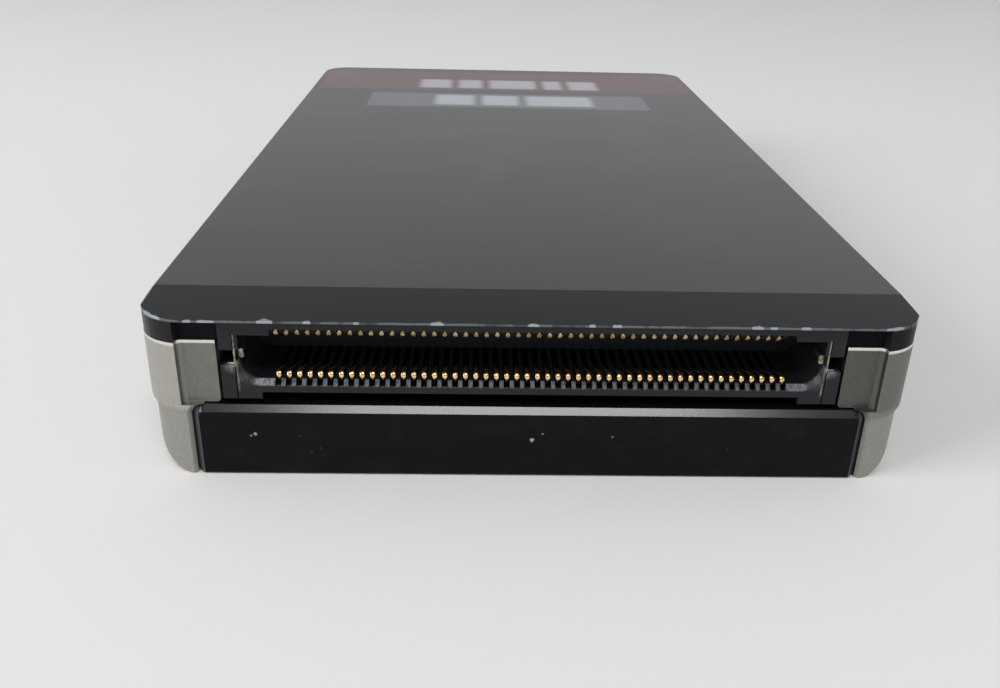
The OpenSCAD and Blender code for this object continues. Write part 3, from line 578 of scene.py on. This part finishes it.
class FloorPart(bpy.types.Operator):
    """Makes the black floor with its bevelled front plate"""

    bl_idname = "drive.floor"
    bl_label = "Floor and front plate"

    # Width of the plate's bevel, how far back the ones at its two ends reach, and their soft edge
    bevel_mm, end_bevel_mm, soft_mm = 0.6, 0.64, 0.04
    # Bare specks on the front plate: across, height and size in mm, and how far the coat is gone
    specks = (
        (-26.5, 4.5, 0.2, 0.9), (-26.9, 4.35, 0.12, 0.5), (0.1, 4.1, 0.26, 0.9), (1.1, 4.8, 0.13, 0.5),
        (7.9, 4.55, 0.1, 0.5), (-21.2, 2.6, 0.12, 0.06), (-20.3, 3.0, 0.12, 0.06), (-22.3, 4.3, 0.1, 0.08),
        (19.3, 3.2, 0.1, 0.1),
    )
    # Reach of the ragged spots as against their size, and size of the raggedness
    speck_reach, torn_mm = 1.6, 0.2
    bare_metallic = 0.8
    # The bevel's end faces are painted greyer as a painted sheen, and the bevel shines more and is smoother
    # than the plate
    end_colour, end_strength = "#46484c", 0.8
    plate_shine, bevel_shine, bevel_polish = 0.10, 0.48, 0.04
    # Smudges: size in mm, stretch and span, tone as a share of the coat's, share left on the bevel
    # and roughness
    smudge_mm, smudge_stretch, smudge_span = 4, (1, 1, 1.4), (0.45, 0.75)
    smudge_share, smudge_on_bevel, smudge_rough = 1.5, 0.15, (0.24, 0.33)
    grain_mm, grain_depth_mm = 0.2, 0.002

    def execute(self, context):
        piece = softened_copy("bottom_cover", "front_plate_and_floor", sizes().plate_round)
        # Satin black anodising, smoother than the lid, so that only its bevel catches the lamp
        material, tree, shader, place = new_material("satin_black_plate")
        x, y, z = axes(tree, place)
        bevel, soft = self.bevel_mm * MM, self.soft_mm * MM
        ends = product(
            tree,
            past(tree, maths(tree, "ABSOLUTE", x), PLATE_HIGH.x - bevel, soft),
            past(tree, y, FRONT_Y + self.end_bevel_mm * MM, soft, below=1.0, above=0.0),
        )
        on_bevel = maths(tree, "MAXIMUM", past(tree, z, PLATE_HIGH.z - bevel, soft), ends)
        bare = self.specked(tree, place)
        smudge = noise(tree, place, self.smudge_mm, detail=3, stretch=self.smudge_stretch)
        smudge = product(
            tree, ramp(tree, smudge, *self.smudge_span), fade(tree, on_bevel, 1.0, self.smudge_on_bevel)
        )
        plate = colours().plate
        coat = mix(tree, smudge, plate, scaled(plate, self.smudge_share))
        # Painted sheen: the bevel's end faces painted grey
        coat = mix(tree, product(tree, ends, self.end_strength), coat, linear(self.end_colour))
        rough = fade(tree, smudge, *self.smudge_rough)
        use(
            tree,
            shader,
            Base_Color=mix(tree, bare, coat, colours().bare),
            Metallic=product(tree, bare, self.bare_metallic),
            Roughness=maths(tree, "SUBTRACT", rough, product(tree, on_bevel, self.bevel_polish)),
            Specular_IOR_Level=fade(tree, on_bevel, self.plate_shine, self.bevel_shine),
            Normal=bump(tree, noise(tree, place, self.grain_mm), self.grain_depth_mm),
        )
        dress(piece, material)
        return {"FINISHED"}

    def specked(self, tree, place):
        """How far the coat is gone: ragged spots on the plate's front face."""
        bare = 0.0
        for across, height, size, strength in self.specks:
            away = distance(tree, place, (across * MM, FRONT_Y, height * MM))
            reach = product(tree, noise(tree, place, self.torn_mm), self.speck_reach * size * MM)
            within = maths(tree, "SUBTRACT", reach, away)
            speck = past(tree, within, 0.0, self.soft_mm * MM, below=0.0, above=strength)
            bare = maths(tree, "MAXIMUM", bare, speck)
        return bare


class PortPart(bpy.types.Operator):
    """Makes the connector moulding and the bar that holds its tails"""

    bl_idname = "drive.port"
    bl_label = "Connector moulding"

    # The slot's lower lead-in: behind the front and over the floor, from and to, in mm
    lead_y_mm, lead_z_mm = (0.86, 1.38), (9.1, 9.86)
    # Its two ends get the strongest painted highlight: out from the middle, where that sets in and where it
    # dies away
    ends_start_mm, ends_stop_mm = (24.3, 24.7), (26.1, 26.6)
    # The slot from end to end, and the painted highlight at its right end as against the left one
    slot_mm, right_share = (-27, 27), 0.65
    # Painted highlights round the foot of each ground clip, and fainter ones from there to the
    # lead-in: across, height and size in mm, and strength
    scuffs = ((28.2, 11.5, 1.1, 1.0), (27.0, 10.4, 1.2, 0.4))
    # Painted highlight in the middle of the lead-in and beyond its ends as against at them
    middle_wear, beyond_wear = 0.55, 0.12
    # Depth of the face round the clips, and the seam below each clip: across, height and depth
    face_mm, seam_x_mm, seam_z_mm, seam_y_mm = 0.8, (27.66, 27.84), (8.9, 11.3), (0.85, 0.95)
    # Strength of the pale line in each seam, and colour of the painted highlights
    seam_strength, rubbed_colour = 0.7, "#82858a"
    # Streaks in the painted highlights, and glass near the skin: size in mm, stretch, and what they change
    streak_mm, streak_stretch, streak_wear = 0.5, (2.5, 1, 1), (0.25, 1.0)
    glass_mm, glass_stretch, glass_span = 0.3, (1, 1, 3), (0.5, 0.8)
    glass_share, glass_rough = 2.0, (0.38, 0.55)
    grain_mm, grain_depth_mm = 0.12, 0.004

    def execute(self, context):
        # Glass-filled moulding: dark grey, dull, with pale streaks where the glass lies near the skin
        material, tree, shader, place = new_material("glass_filled_moulding", Specular_IOR_Level=0.28)
        glass = noise(tree, place, self.glass_mm, detail=4, stretch=self.glass_stretch)
        glass = ramp(tree, glass, *self.glass_span)
        dark = colours().moulding
        tone = mix(tree, glass, dark, scaled(dark, self.glass_share))
        use(
            tree,
            shader,
            # Painted highlights: the lead-in and round the clips painted pale, with a pale line in the seams
            Base_Color=mix(tree, self.rubbed(tree, place), tone, linear(self.rubbed_colour)),
            Roughness=fade(tree, glass, *self.glass_rough),
            Normal=bump(tree, noise(tree, place, self.grain_mm), self.grain_depth_mm),
        )
        for node, name in (("connector_housing", "connector_moulding"), ("tail_comb", "tail_bar")):
            piece = softened_copy(node, name, sizes().port_round, segments=1)
            dress(piece, material)
        return {"FINISHED"}

    def rubbed(self, tree, place):
        """Where the moulding is painted pale: painted highlights on its lead-in and round the clips, and a
        thin line along the seams.
        """
        x, y, z = axes(tree, place)
        out = maths(tree, "ABSOLUTE", x)
        streaks = noise(tree, place, self.streak_mm, detail=3, stretch=self.streak_stretch)
        streaks = ramp(tree, streaks, *FINISH_SPAN, *self.streak_wear)
        rubbed = product(
            tree,
            between(tree, y, *metres(self.lead_y_mm, FRONT_Y), soft=0.04 * MM),
            between(tree, z, *metres(self.lead_z_mm), soft=0.05 * MM),
            ramp(tree, out, *metres(self.ends_start_mm), self.middle_wear, 1.0),
            ramp(tree, out, *metres(self.ends_stop_mm), 1.0, self.beyond_wear),
            ramp(tree, x, *metres(self.slot_mm), 1.0, self.right_share),
            streaks,
        )
        folded = add_node(tree, "ShaderNodeCombineXYZ", {0: out, 1: y, 2: z}).outputs[0]
        for across, height, size, strength in self.scuffs:
            middle = (across * MM, FRONT_Y + self.face_mm * MM, height * MM)
            scuff = ramp(tree, distance(tree, folded, middle), 0, size * MM, strength, 0.0)
            rubbed = maths(tree, "MAXIMUM", rubbed, product(tree, scuff, streaks))
        # The edge of the seam below each clip is painted paler as a thin line
        seam = product(
            tree,
            between(tree, out, *metres(self.seam_x_mm), soft=0.05 * MM),
            between(tree, z, *metres(self.seam_z_mm), soft=0.3 * MM),
            ramp(tree, y, *metres(self.seam_y_mm, FRONT_Y), self.seam_strength, 0.0),
            streaks,
        )
        return maths(tree, "MAXIMUM", rubbed, seam)


class ContactParts(bpy.types.Operator):
    """Makes the two rows of sprung contacts with domed tips"""

    bl_idname = "drive.contacts"
    bl_label = "Contacts"

    # Height of the lower row's level run, radius of the tail's bends and length of its foot, in mm
    run_mm, bend_mm, foot_mm = 9.2, 0.3, 0.9
    # The tip's arc about its centre, and how far behind that the level run starts
    tip_from_deg, tip_to_deg, tip_points, beam_mm = 235, 72, 9, 3.45
    # Points on the two bends of the tail
    bend_points = 3
    # The section: its points, its superellipse power, and its width at the very tip with the
    # width it would grow to at the far end if it weren't held at 1
    ring_points, power, tip_width, grow_to = 8, 3, 0.6, 2.4
    crease = math.radians(50)
    # Behind the moulding's front, in mm: where painted shade darkens the beams deeper in the slot, and the
    # share of the gold left
    brown_mm, brown_share = (1.3, 2.9), (0.22, 0.17, 0.13)
    # The upper row, over this height in mm, faces down and is darkened with painted shade
    upper_mm, upper_colour, upper_strength = (12.0, 12.4), "#2c2816", 0.65
    # The film on the plating: size of its blotches, colour, strength and roughness
    film_mm, film_colour, film_strength, film_rough = 0.35, "#fff2da", 0.35, (0.18, 0.30)

    def execute(self, context):
        # Gold over nickel: bright on the domed tips, darkened to brown down the beams with painted shade
        # deeper in the slot
        material, tree, shader, place = new_material("gold_plated_contact", Metallic=1.0)
        gold = colours().gold
        film = noise(tree, place, self.film_mm, detail=3)
        _, y, z = axes(tree, place)
        depth = ramp(tree, y, *metres(self.brown_mm, PORT_LOW.y))
        # Painted shade: the beams darkened further back in the slot
        tone = mix(tree, depth, gold, scaled(gold, *self.brown_share))
        # Painted shade on the downward-facing upper row
        upper = product(tree, ramp(tree, z, *metres(self.upper_mm)), self.upper_strength)
        tone = mix(tree, upper, tone, linear(self.upper_colour))
        filmed = ramp(tree, film, *COLOUR_SPAN, 0, self.film_strength)
        use(
            tree,
            shader,
            Base_Color=mix(tree, filmed, tone, linear(self.film_colour)),
            Roughness=ramp(tree, film, *FINISH_SPAN, *self.film_rough),
        )
        for node in ("lower_contacts", "upper_contacts"):
            dress(self.row(node), material)
        return {"FINISHED"}

    def row(self, node):
        low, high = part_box(node)
        width, pitch = sizes().contact_width, sizes().contact_pitch
        points, quads, caps = self.contact(self.path(node))
        places = np.arange(low.x + width / 2, high.x, pitch)
        verts = (points + np.array([(x, 0, 0) for x in places])[:, None]).reshape(-1, 3)
        starts = np.arange(len(places)) * len(points)
        faces = [(face + start).tolist() for start in starts for group in (quads, caps) for face in group]
        mesh = bpy.data.meshes.new(node + "_domed")
        mesh.from_pydata(verts.tolist(), [], faces)
        mesh.shade_smooth()
        mesh.set_sharp_from_angle(angle=self.crease)
        row = add_object(node + "_domed", mesh)
        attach(row, BODY)
        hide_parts(node)
        return row

    def path(self, node):
        """Middle line in Y and Z: the tip's arc, a straight beam, a level run, two bends and a foot.

        The upper row's head is the lower row's, turned over about the slot's middle height.
        """
        half = sizes().contact_thickness / 2
        bend, run = self.bend_mm * MM, self.run_mm * MM
        low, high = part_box(node)
        lower_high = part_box("lower_contacts")[1]
        upper_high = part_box("upper_contacts")[1]
        radius = sizes().tip_radius
        tip = np.array([low.y + half + radius, lower_high.z - half - radius])
        head = self.arc(tip, radius, self.tip_from_deg, self.tip_to_deg, self.tip_points)
        head = np.vstack([head, (tip[0] + self.beam_mm * MM, run)])
        if node == "upper_contacts":
            head[:, 1] = upper_high.z - half + run - head[:, 1]
        tail_y = high.y - self.foot_mm * MM
        foot_z = low.z + half
        upper_bend = (tail_y - bend, head[-1, 1] - bend)
        lower_bend = (tail_y + bend, foot_z + bend)
        return np.vstack(
            [
                head,
                self.arc(upper_bend, bend, start_deg=90, end_deg=0, count=self.bend_points),
                self.arc(lower_bend, bend, start_deg=180, end_deg=270, count=self.bend_points),
                (high.y, foot_z),
            ]
        )

    def arc(self, centre, radius, start_deg, end_deg, count):
        turn = np.radians(np.linspace(start_deg, end_deg, count))
        return np.asarray(centre) + radius * np.stack([np.cos(turn), np.sin(turn)], axis=1)

    def contact(self, path):
        """A strip swept along the path with a pillow-shaped section, narrow at the very tip.

        Each section is a superellipse: |x / half width| ** power + |n / half thickness| ** power = 1,
        with n along the path's normal. The half width grows from the tip's share to full.
        """
        count = self.ring_points
        step = np.gradient(path, axis=0)
        normal = np.stack([-step[:, 1], step[:, 0]], axis=1) / np.linalg.norm(step, axis=1)[:, None]
        grow = np.clip(np.linspace(self.tip_width, self.grow_to, len(path)), self.tip_width, 1.0)
        turn = np.arange(count) * 2 * math.pi / count + math.pi / count
        across, out = (
            np.sign(part) * np.abs(part) ** (2 / self.power) for part in (np.cos(turn), np.sin(turn))
        )
        x = sizes().contact_width / 2 * grow[:, None] * across
        n = sizes().contact_thickness / 2 * np.ones(len(path))[:, None] * out
        points = np.stack(
            [x, path[:, :1] + n * normal[:, :1], path[:, 1:] + n * normal[:, 1:]], axis=2
        ).reshape(-1, 3)
        ring = np.arange(count)
        starts = np.arange(len(path) - 1)[:, None] * count
        first, after = starts + ring, starts + (ring + 1) % count
        quads = np.stack([first, first + count, after + count, after], axis=2).reshape(-1, 4)
        caps = np.stack([ring, (len(path) - 1) * count + ring[::-1]])
        return points, quads, caps


class ClipParts(bpy.types.Operator):
    """Makes the two ground clips"""

    bl_idname = "drive.clips"
    bl_label = "Ground clips"

    # The dull film: size of its blotches, its tone as a share of the plating's, and roughness
    film_mm, film_share, film_rough = 0.35, 0.35, (0.28, 0.42)

    def execute(self, context):
        # Dull tin over bronze: greenish and blotchy with handling
        material, tree, shader, place = new_material("dull_tinned_bronze", Metallic=1.0)
        clip = colours().clip
        film = noise(tree, place, self.film_mm, detail=3)
        dull = scaled(clip, self.film_share)
        use(
            tree,
            shader,
            Base_Color=mix(tree, ramp(tree, film, *COLOUR_SPAN), dull, clip),
            Roughness=ramp(tree, film, *FINISH_SPAN, *self.film_rough),
        )
        for side in ("left", "right"):
            piece = softened_copy(
                side + "_ground_clip", side + "_clip", sizes().port_round, segments=1
            )
            dress(piece, material)
        return {"FINISHED"}


class ScrewParts(bpy.types.Operator):
    """Finishes the screws and the brass posts"""

    bl_idname = "drive.screws"
    bl_label = "Screws and posts"

    # Distance between the rings that the lathe left on the posts, and their depth
    ring_mm, ring_depth_mm = 0.15, 0.004

    def execute(self, context):
        # Black oxide: dark, faintly oily, worn a little lighter in patches
        black = self.metal(
            "black_oxide_screw", size_mm=0.6, low="#26272a", high="#45474b", smooth=0.30, rough=0.45
        )[0]
        dress(softened_copy("cover_screws", "cover_screw_set", sizes().screw_round), black)
        # Bright zinc: a light blue-grey with a soft grain
        zinc = self.metal(
            "zinc_plated_screw", size_mm=0.4, low="#8e9399", high="#b9bdc2", smooth=0.22, rough=0.36
        )[0]
        for node in ("board_screws", "module_screws", "connector_screws"):
            dress(softened_copy(node, node + "_set", sizes().screw_round), zinc)
        # Turned brass: fine rings left by the lathe
        brass, tree, shader, place = self.metal(
            "turned_brass_post", size_mm=0.8, low="#a8894a", high="#c9ac68", smooth=0.24, rough=0.38
        )
        turns = product(tree, axes(tree, place)["Z"], 2 * math.pi / (self.ring_mm * MM))
        use(tree, shader, Normal=bump(tree, maths(tree, "SINE", turns), self.ring_depth_mm))
        dress(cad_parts["module_posts"], brass)
        return {"FINISHED"}

    def metal(self, name, size_mm, low, high, smooth, rough):
        """A metal with patches of that size between two colours and two roughnesses."""
        material, tree, shader, place = new_material(name, Metallic=1.0)
        film = noise(tree, place, size_mm, detail=3)
        use(
            tree,
            shader,
            Base_Color=mix(tree, film, linear(low), linear(high)),
            Roughness=ramp(tree, film, *FINISH_SPAN, smooth, rough),
        )
        return material, tree, shader, place


class InnerParts(bpy.types.Operator):
    """Finishes the board, the modules, the chips and the pads inside the drive"""

    bl_idname = "drive.inside"
    bl_label = "Parts inside"

    mask_low, mask_high, trace_colour = "#0a1c14", "#0c2118", "#153a28"
    # Size of the mottling under the mask, and of the field of traces, in mm
    mask_mm, trace_mm = 3, 3
    # Behind the front, in mm: painted shade along the board's front edge, with its colour, and its
    # shine against the mask's
    cut_mm, cut_colour, cut_shine, mask_shine = (3.6, 4.6), "#0b0d0c", 0.1, 0.5
    # The capacitors' spacing along the drive, and where the mark on each one lies
    capacitor_mm, mark_mm = 7.9, (1.2, 2.2)
    resin_colour, mark_colour = "#bb8429", "#6b3f14"

    def execute(self, context):
        nodes = {
            self.solder_mask(): ("main_board", "left_module_board", "right_module_board"),
            self.epoxy(): (
                "bridge_chip", "left_module_controller", "right_module_controller",
                "left_memory_chips", "right_memory_chips",
            ),
            self.silicone(): ("bridge_heat_pad", "left_heat_pad", "right_heat_pad"),
            self.ferrite(): ("power_inductors",),
            self.tantalum(): ("hold_up_capacitors",),
            self.nylon(): ("left_module_socket", "right_module_socket"),
            self.polyimide(): ("insulator_sheet",),
        }
        for material, names in nodes.items():
            for name in names:
                dress(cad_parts[name], material)
        return {"FINISHED"}

    def plain(self, name, size_mm, low, high, smooth, rough, depth_mm, detail=2.0, **sockets):
        """A material mottled between two colours, with matching roughness and grain."""
        material, tree, shader, place = new_material(name, **sockets)
        spots = noise(tree, place, size_mm, detail)
        use(
            tree,
            shader,
            Base_Color=mix(tree, ramp(tree, spots, *COLOUR_SPAN), linear(low), linear(high)),
            Roughness=ramp(tree, spots, *FINISH_SPAN, smooth, rough),
            Normal=bump(tree, spots, depth_mm),
        )
        return material, tree, shader, place

    def solder_mask(self):
        # Solder mask: glossy green, paler where copper traces run under it
        material, tree, shader, place = self.plain(
            "green_solder_mask", self.mask_mm, self.mask_low, self.mask_high,
            smooth=0.25, rough=0.4, depth_mm=0.01,
        )
        traces = add_node(
            tree,
            "ShaderNodeTexBrick",
            {
                "Vector": place, "Scale": 1 / (self.trace_mm * MM), "Mortar Size": 0.06, "Mortar Smooth": 0.2,
                "Color1": linear(self.mask_low), "Color2": linear(self.mask_high),
                "Mortar": linear(self.trace_colour),
            },
        ).outputs["Color"]
        # Painted shade along the front edge, which lies in the dark under the connector
        edge = ramp(tree, axes(tree, place)["Y"], *metres(self.cut_mm, FRONT_Y))
        use(
            tree,
            shader,
            Base_Color=mix(tree, edge, linear(self.cut_colour), traces),
            Specular_IOR_Level=fade(tree, edge, self.cut_shine, self.mask_shine),
        )
        return material

    def epoxy(self):
        # Moulded epoxy: near black with the fine sparkle of its filler
        return self.plain(
            "black_moulded_epoxy", size_mm=0.25, low="#1b1c1e", high="#2a2b2e",
            smooth=0.42, rough=0.6, depth_mm=0.01,
        )[0]

    def silicone(self):
        # Silicone heat pad: soft blue-grey, slightly waxy
        return self.plain(
            "blue_grey_silicone", size_mm=0.8, low="#7d8d9b", high="#93a3b0",
            smooth=0.6, rough=0.8, depth_mm=0.03, Subsurface_Weight=0.1,
        )[0]

    def ferrite(self):
        # Pressed ferrite: dark grey, gritty
        return self.plain(
            "pressed_ferrite", size_mm=0.3, low="#3c3e41", high="#525457",
            smooth=0.55, rough=0.75, depth_mm=0.02, detail=4,
        )[0]

    def tantalum(self):
        # Tantalum capacitor: amber resin with a darker mark at its positive end
        material, tree, shader, place = self.plain(
            "amber_resin", size_mm=0.5, low="#b07a20", high="#c68f36",
            smooth=0.35, rough=0.5, depth_mm=0.01,
        )
        back = maths(tree, "SUBTRACT", axes(tree, place)["Y"], FRONT_Y)
        along = maths(tree, "MODULO", back, self.capacitor_mm * MM)
        mark = between(tree, along, *metres(self.mark_mm), soft=0.05 * MM)
        use(tree, shader, Base_Color=mix(tree, mark, linear(self.resin_colour), linear(self.mark_colour)))
        return material

    def nylon(self):
        # Black nylon: dull, with the faint flow lines of the mould
        return self.plain(
            "black_nylon", size_mm=1.2, low="#151618", high="#1f2022",
            smooth=0.45, rough=0.6, depth_mm=0.01,
        )[0]

    def polyimide(self):
        # Polyimide film: amber and half clear, with a slight waviness
        return self.plain(
            "amber_polyimide_film", size_mm=4, low="#a8772a", high="#c08f3c",
            smooth=0.15, rough=0.3, depth_mm=0.05, Transmission_Weight=0.4,
        )[0]


class DrivePanel(bpy.types.Panel):
    """Lists the drive's operators in the sidebar"""

    bl_idname = "VIEW3D_PT_drive"
    bl_label = "Capture drive"
    bl_space_type = "VIEW_3D"
    bl_region_type = "UI"
    bl_category = "Drive"

    def draw(self, context):
        for part in PARTS:
            self.layout.operator(part.bl_idname)


PARTS = (StagePart, LidPart, FramePart, FloorPart, PortPart, ContactParts, ClipParts, ScrewParts, InnerParts)
CLASSES = (DriveColours, DriveSizes, *PARTS, DrivePanel)


def register():
    for cls in CLASSES:
        bpy.utils.register_class(cls)
    bpy.types.Scene.drive_colours = bpy.props.PointerProperty(type=DriveColours)
    bpy.types.Scene.drive_sizes = bpy.props.PointerProperty(type=DriveSizes)


def unregister():
    del bpy.types.Scene.drive_sizes
    del bpy.types.Scene.drive_colours
    for cls in reversed(CLASSES):
        bpy.utils.unregister_class(cls)


def main():
    register()
    bpy.context.scene.view_settings.view_transform = "Standard"
    bpy.ops.drive.stage()
    bpy.ops.drive.lid()
    bpy.ops.drive.side_frame()
    bpy.ops.drive.floor()
    bpy.ops.drive.port()
    bpy.ops.drive.contacts()
    bpy.ops.drive.clips()
    bpy.ops.drive.screws()
    bpy.ops.drive.inside()


if __name__ == "__main__":
    main()
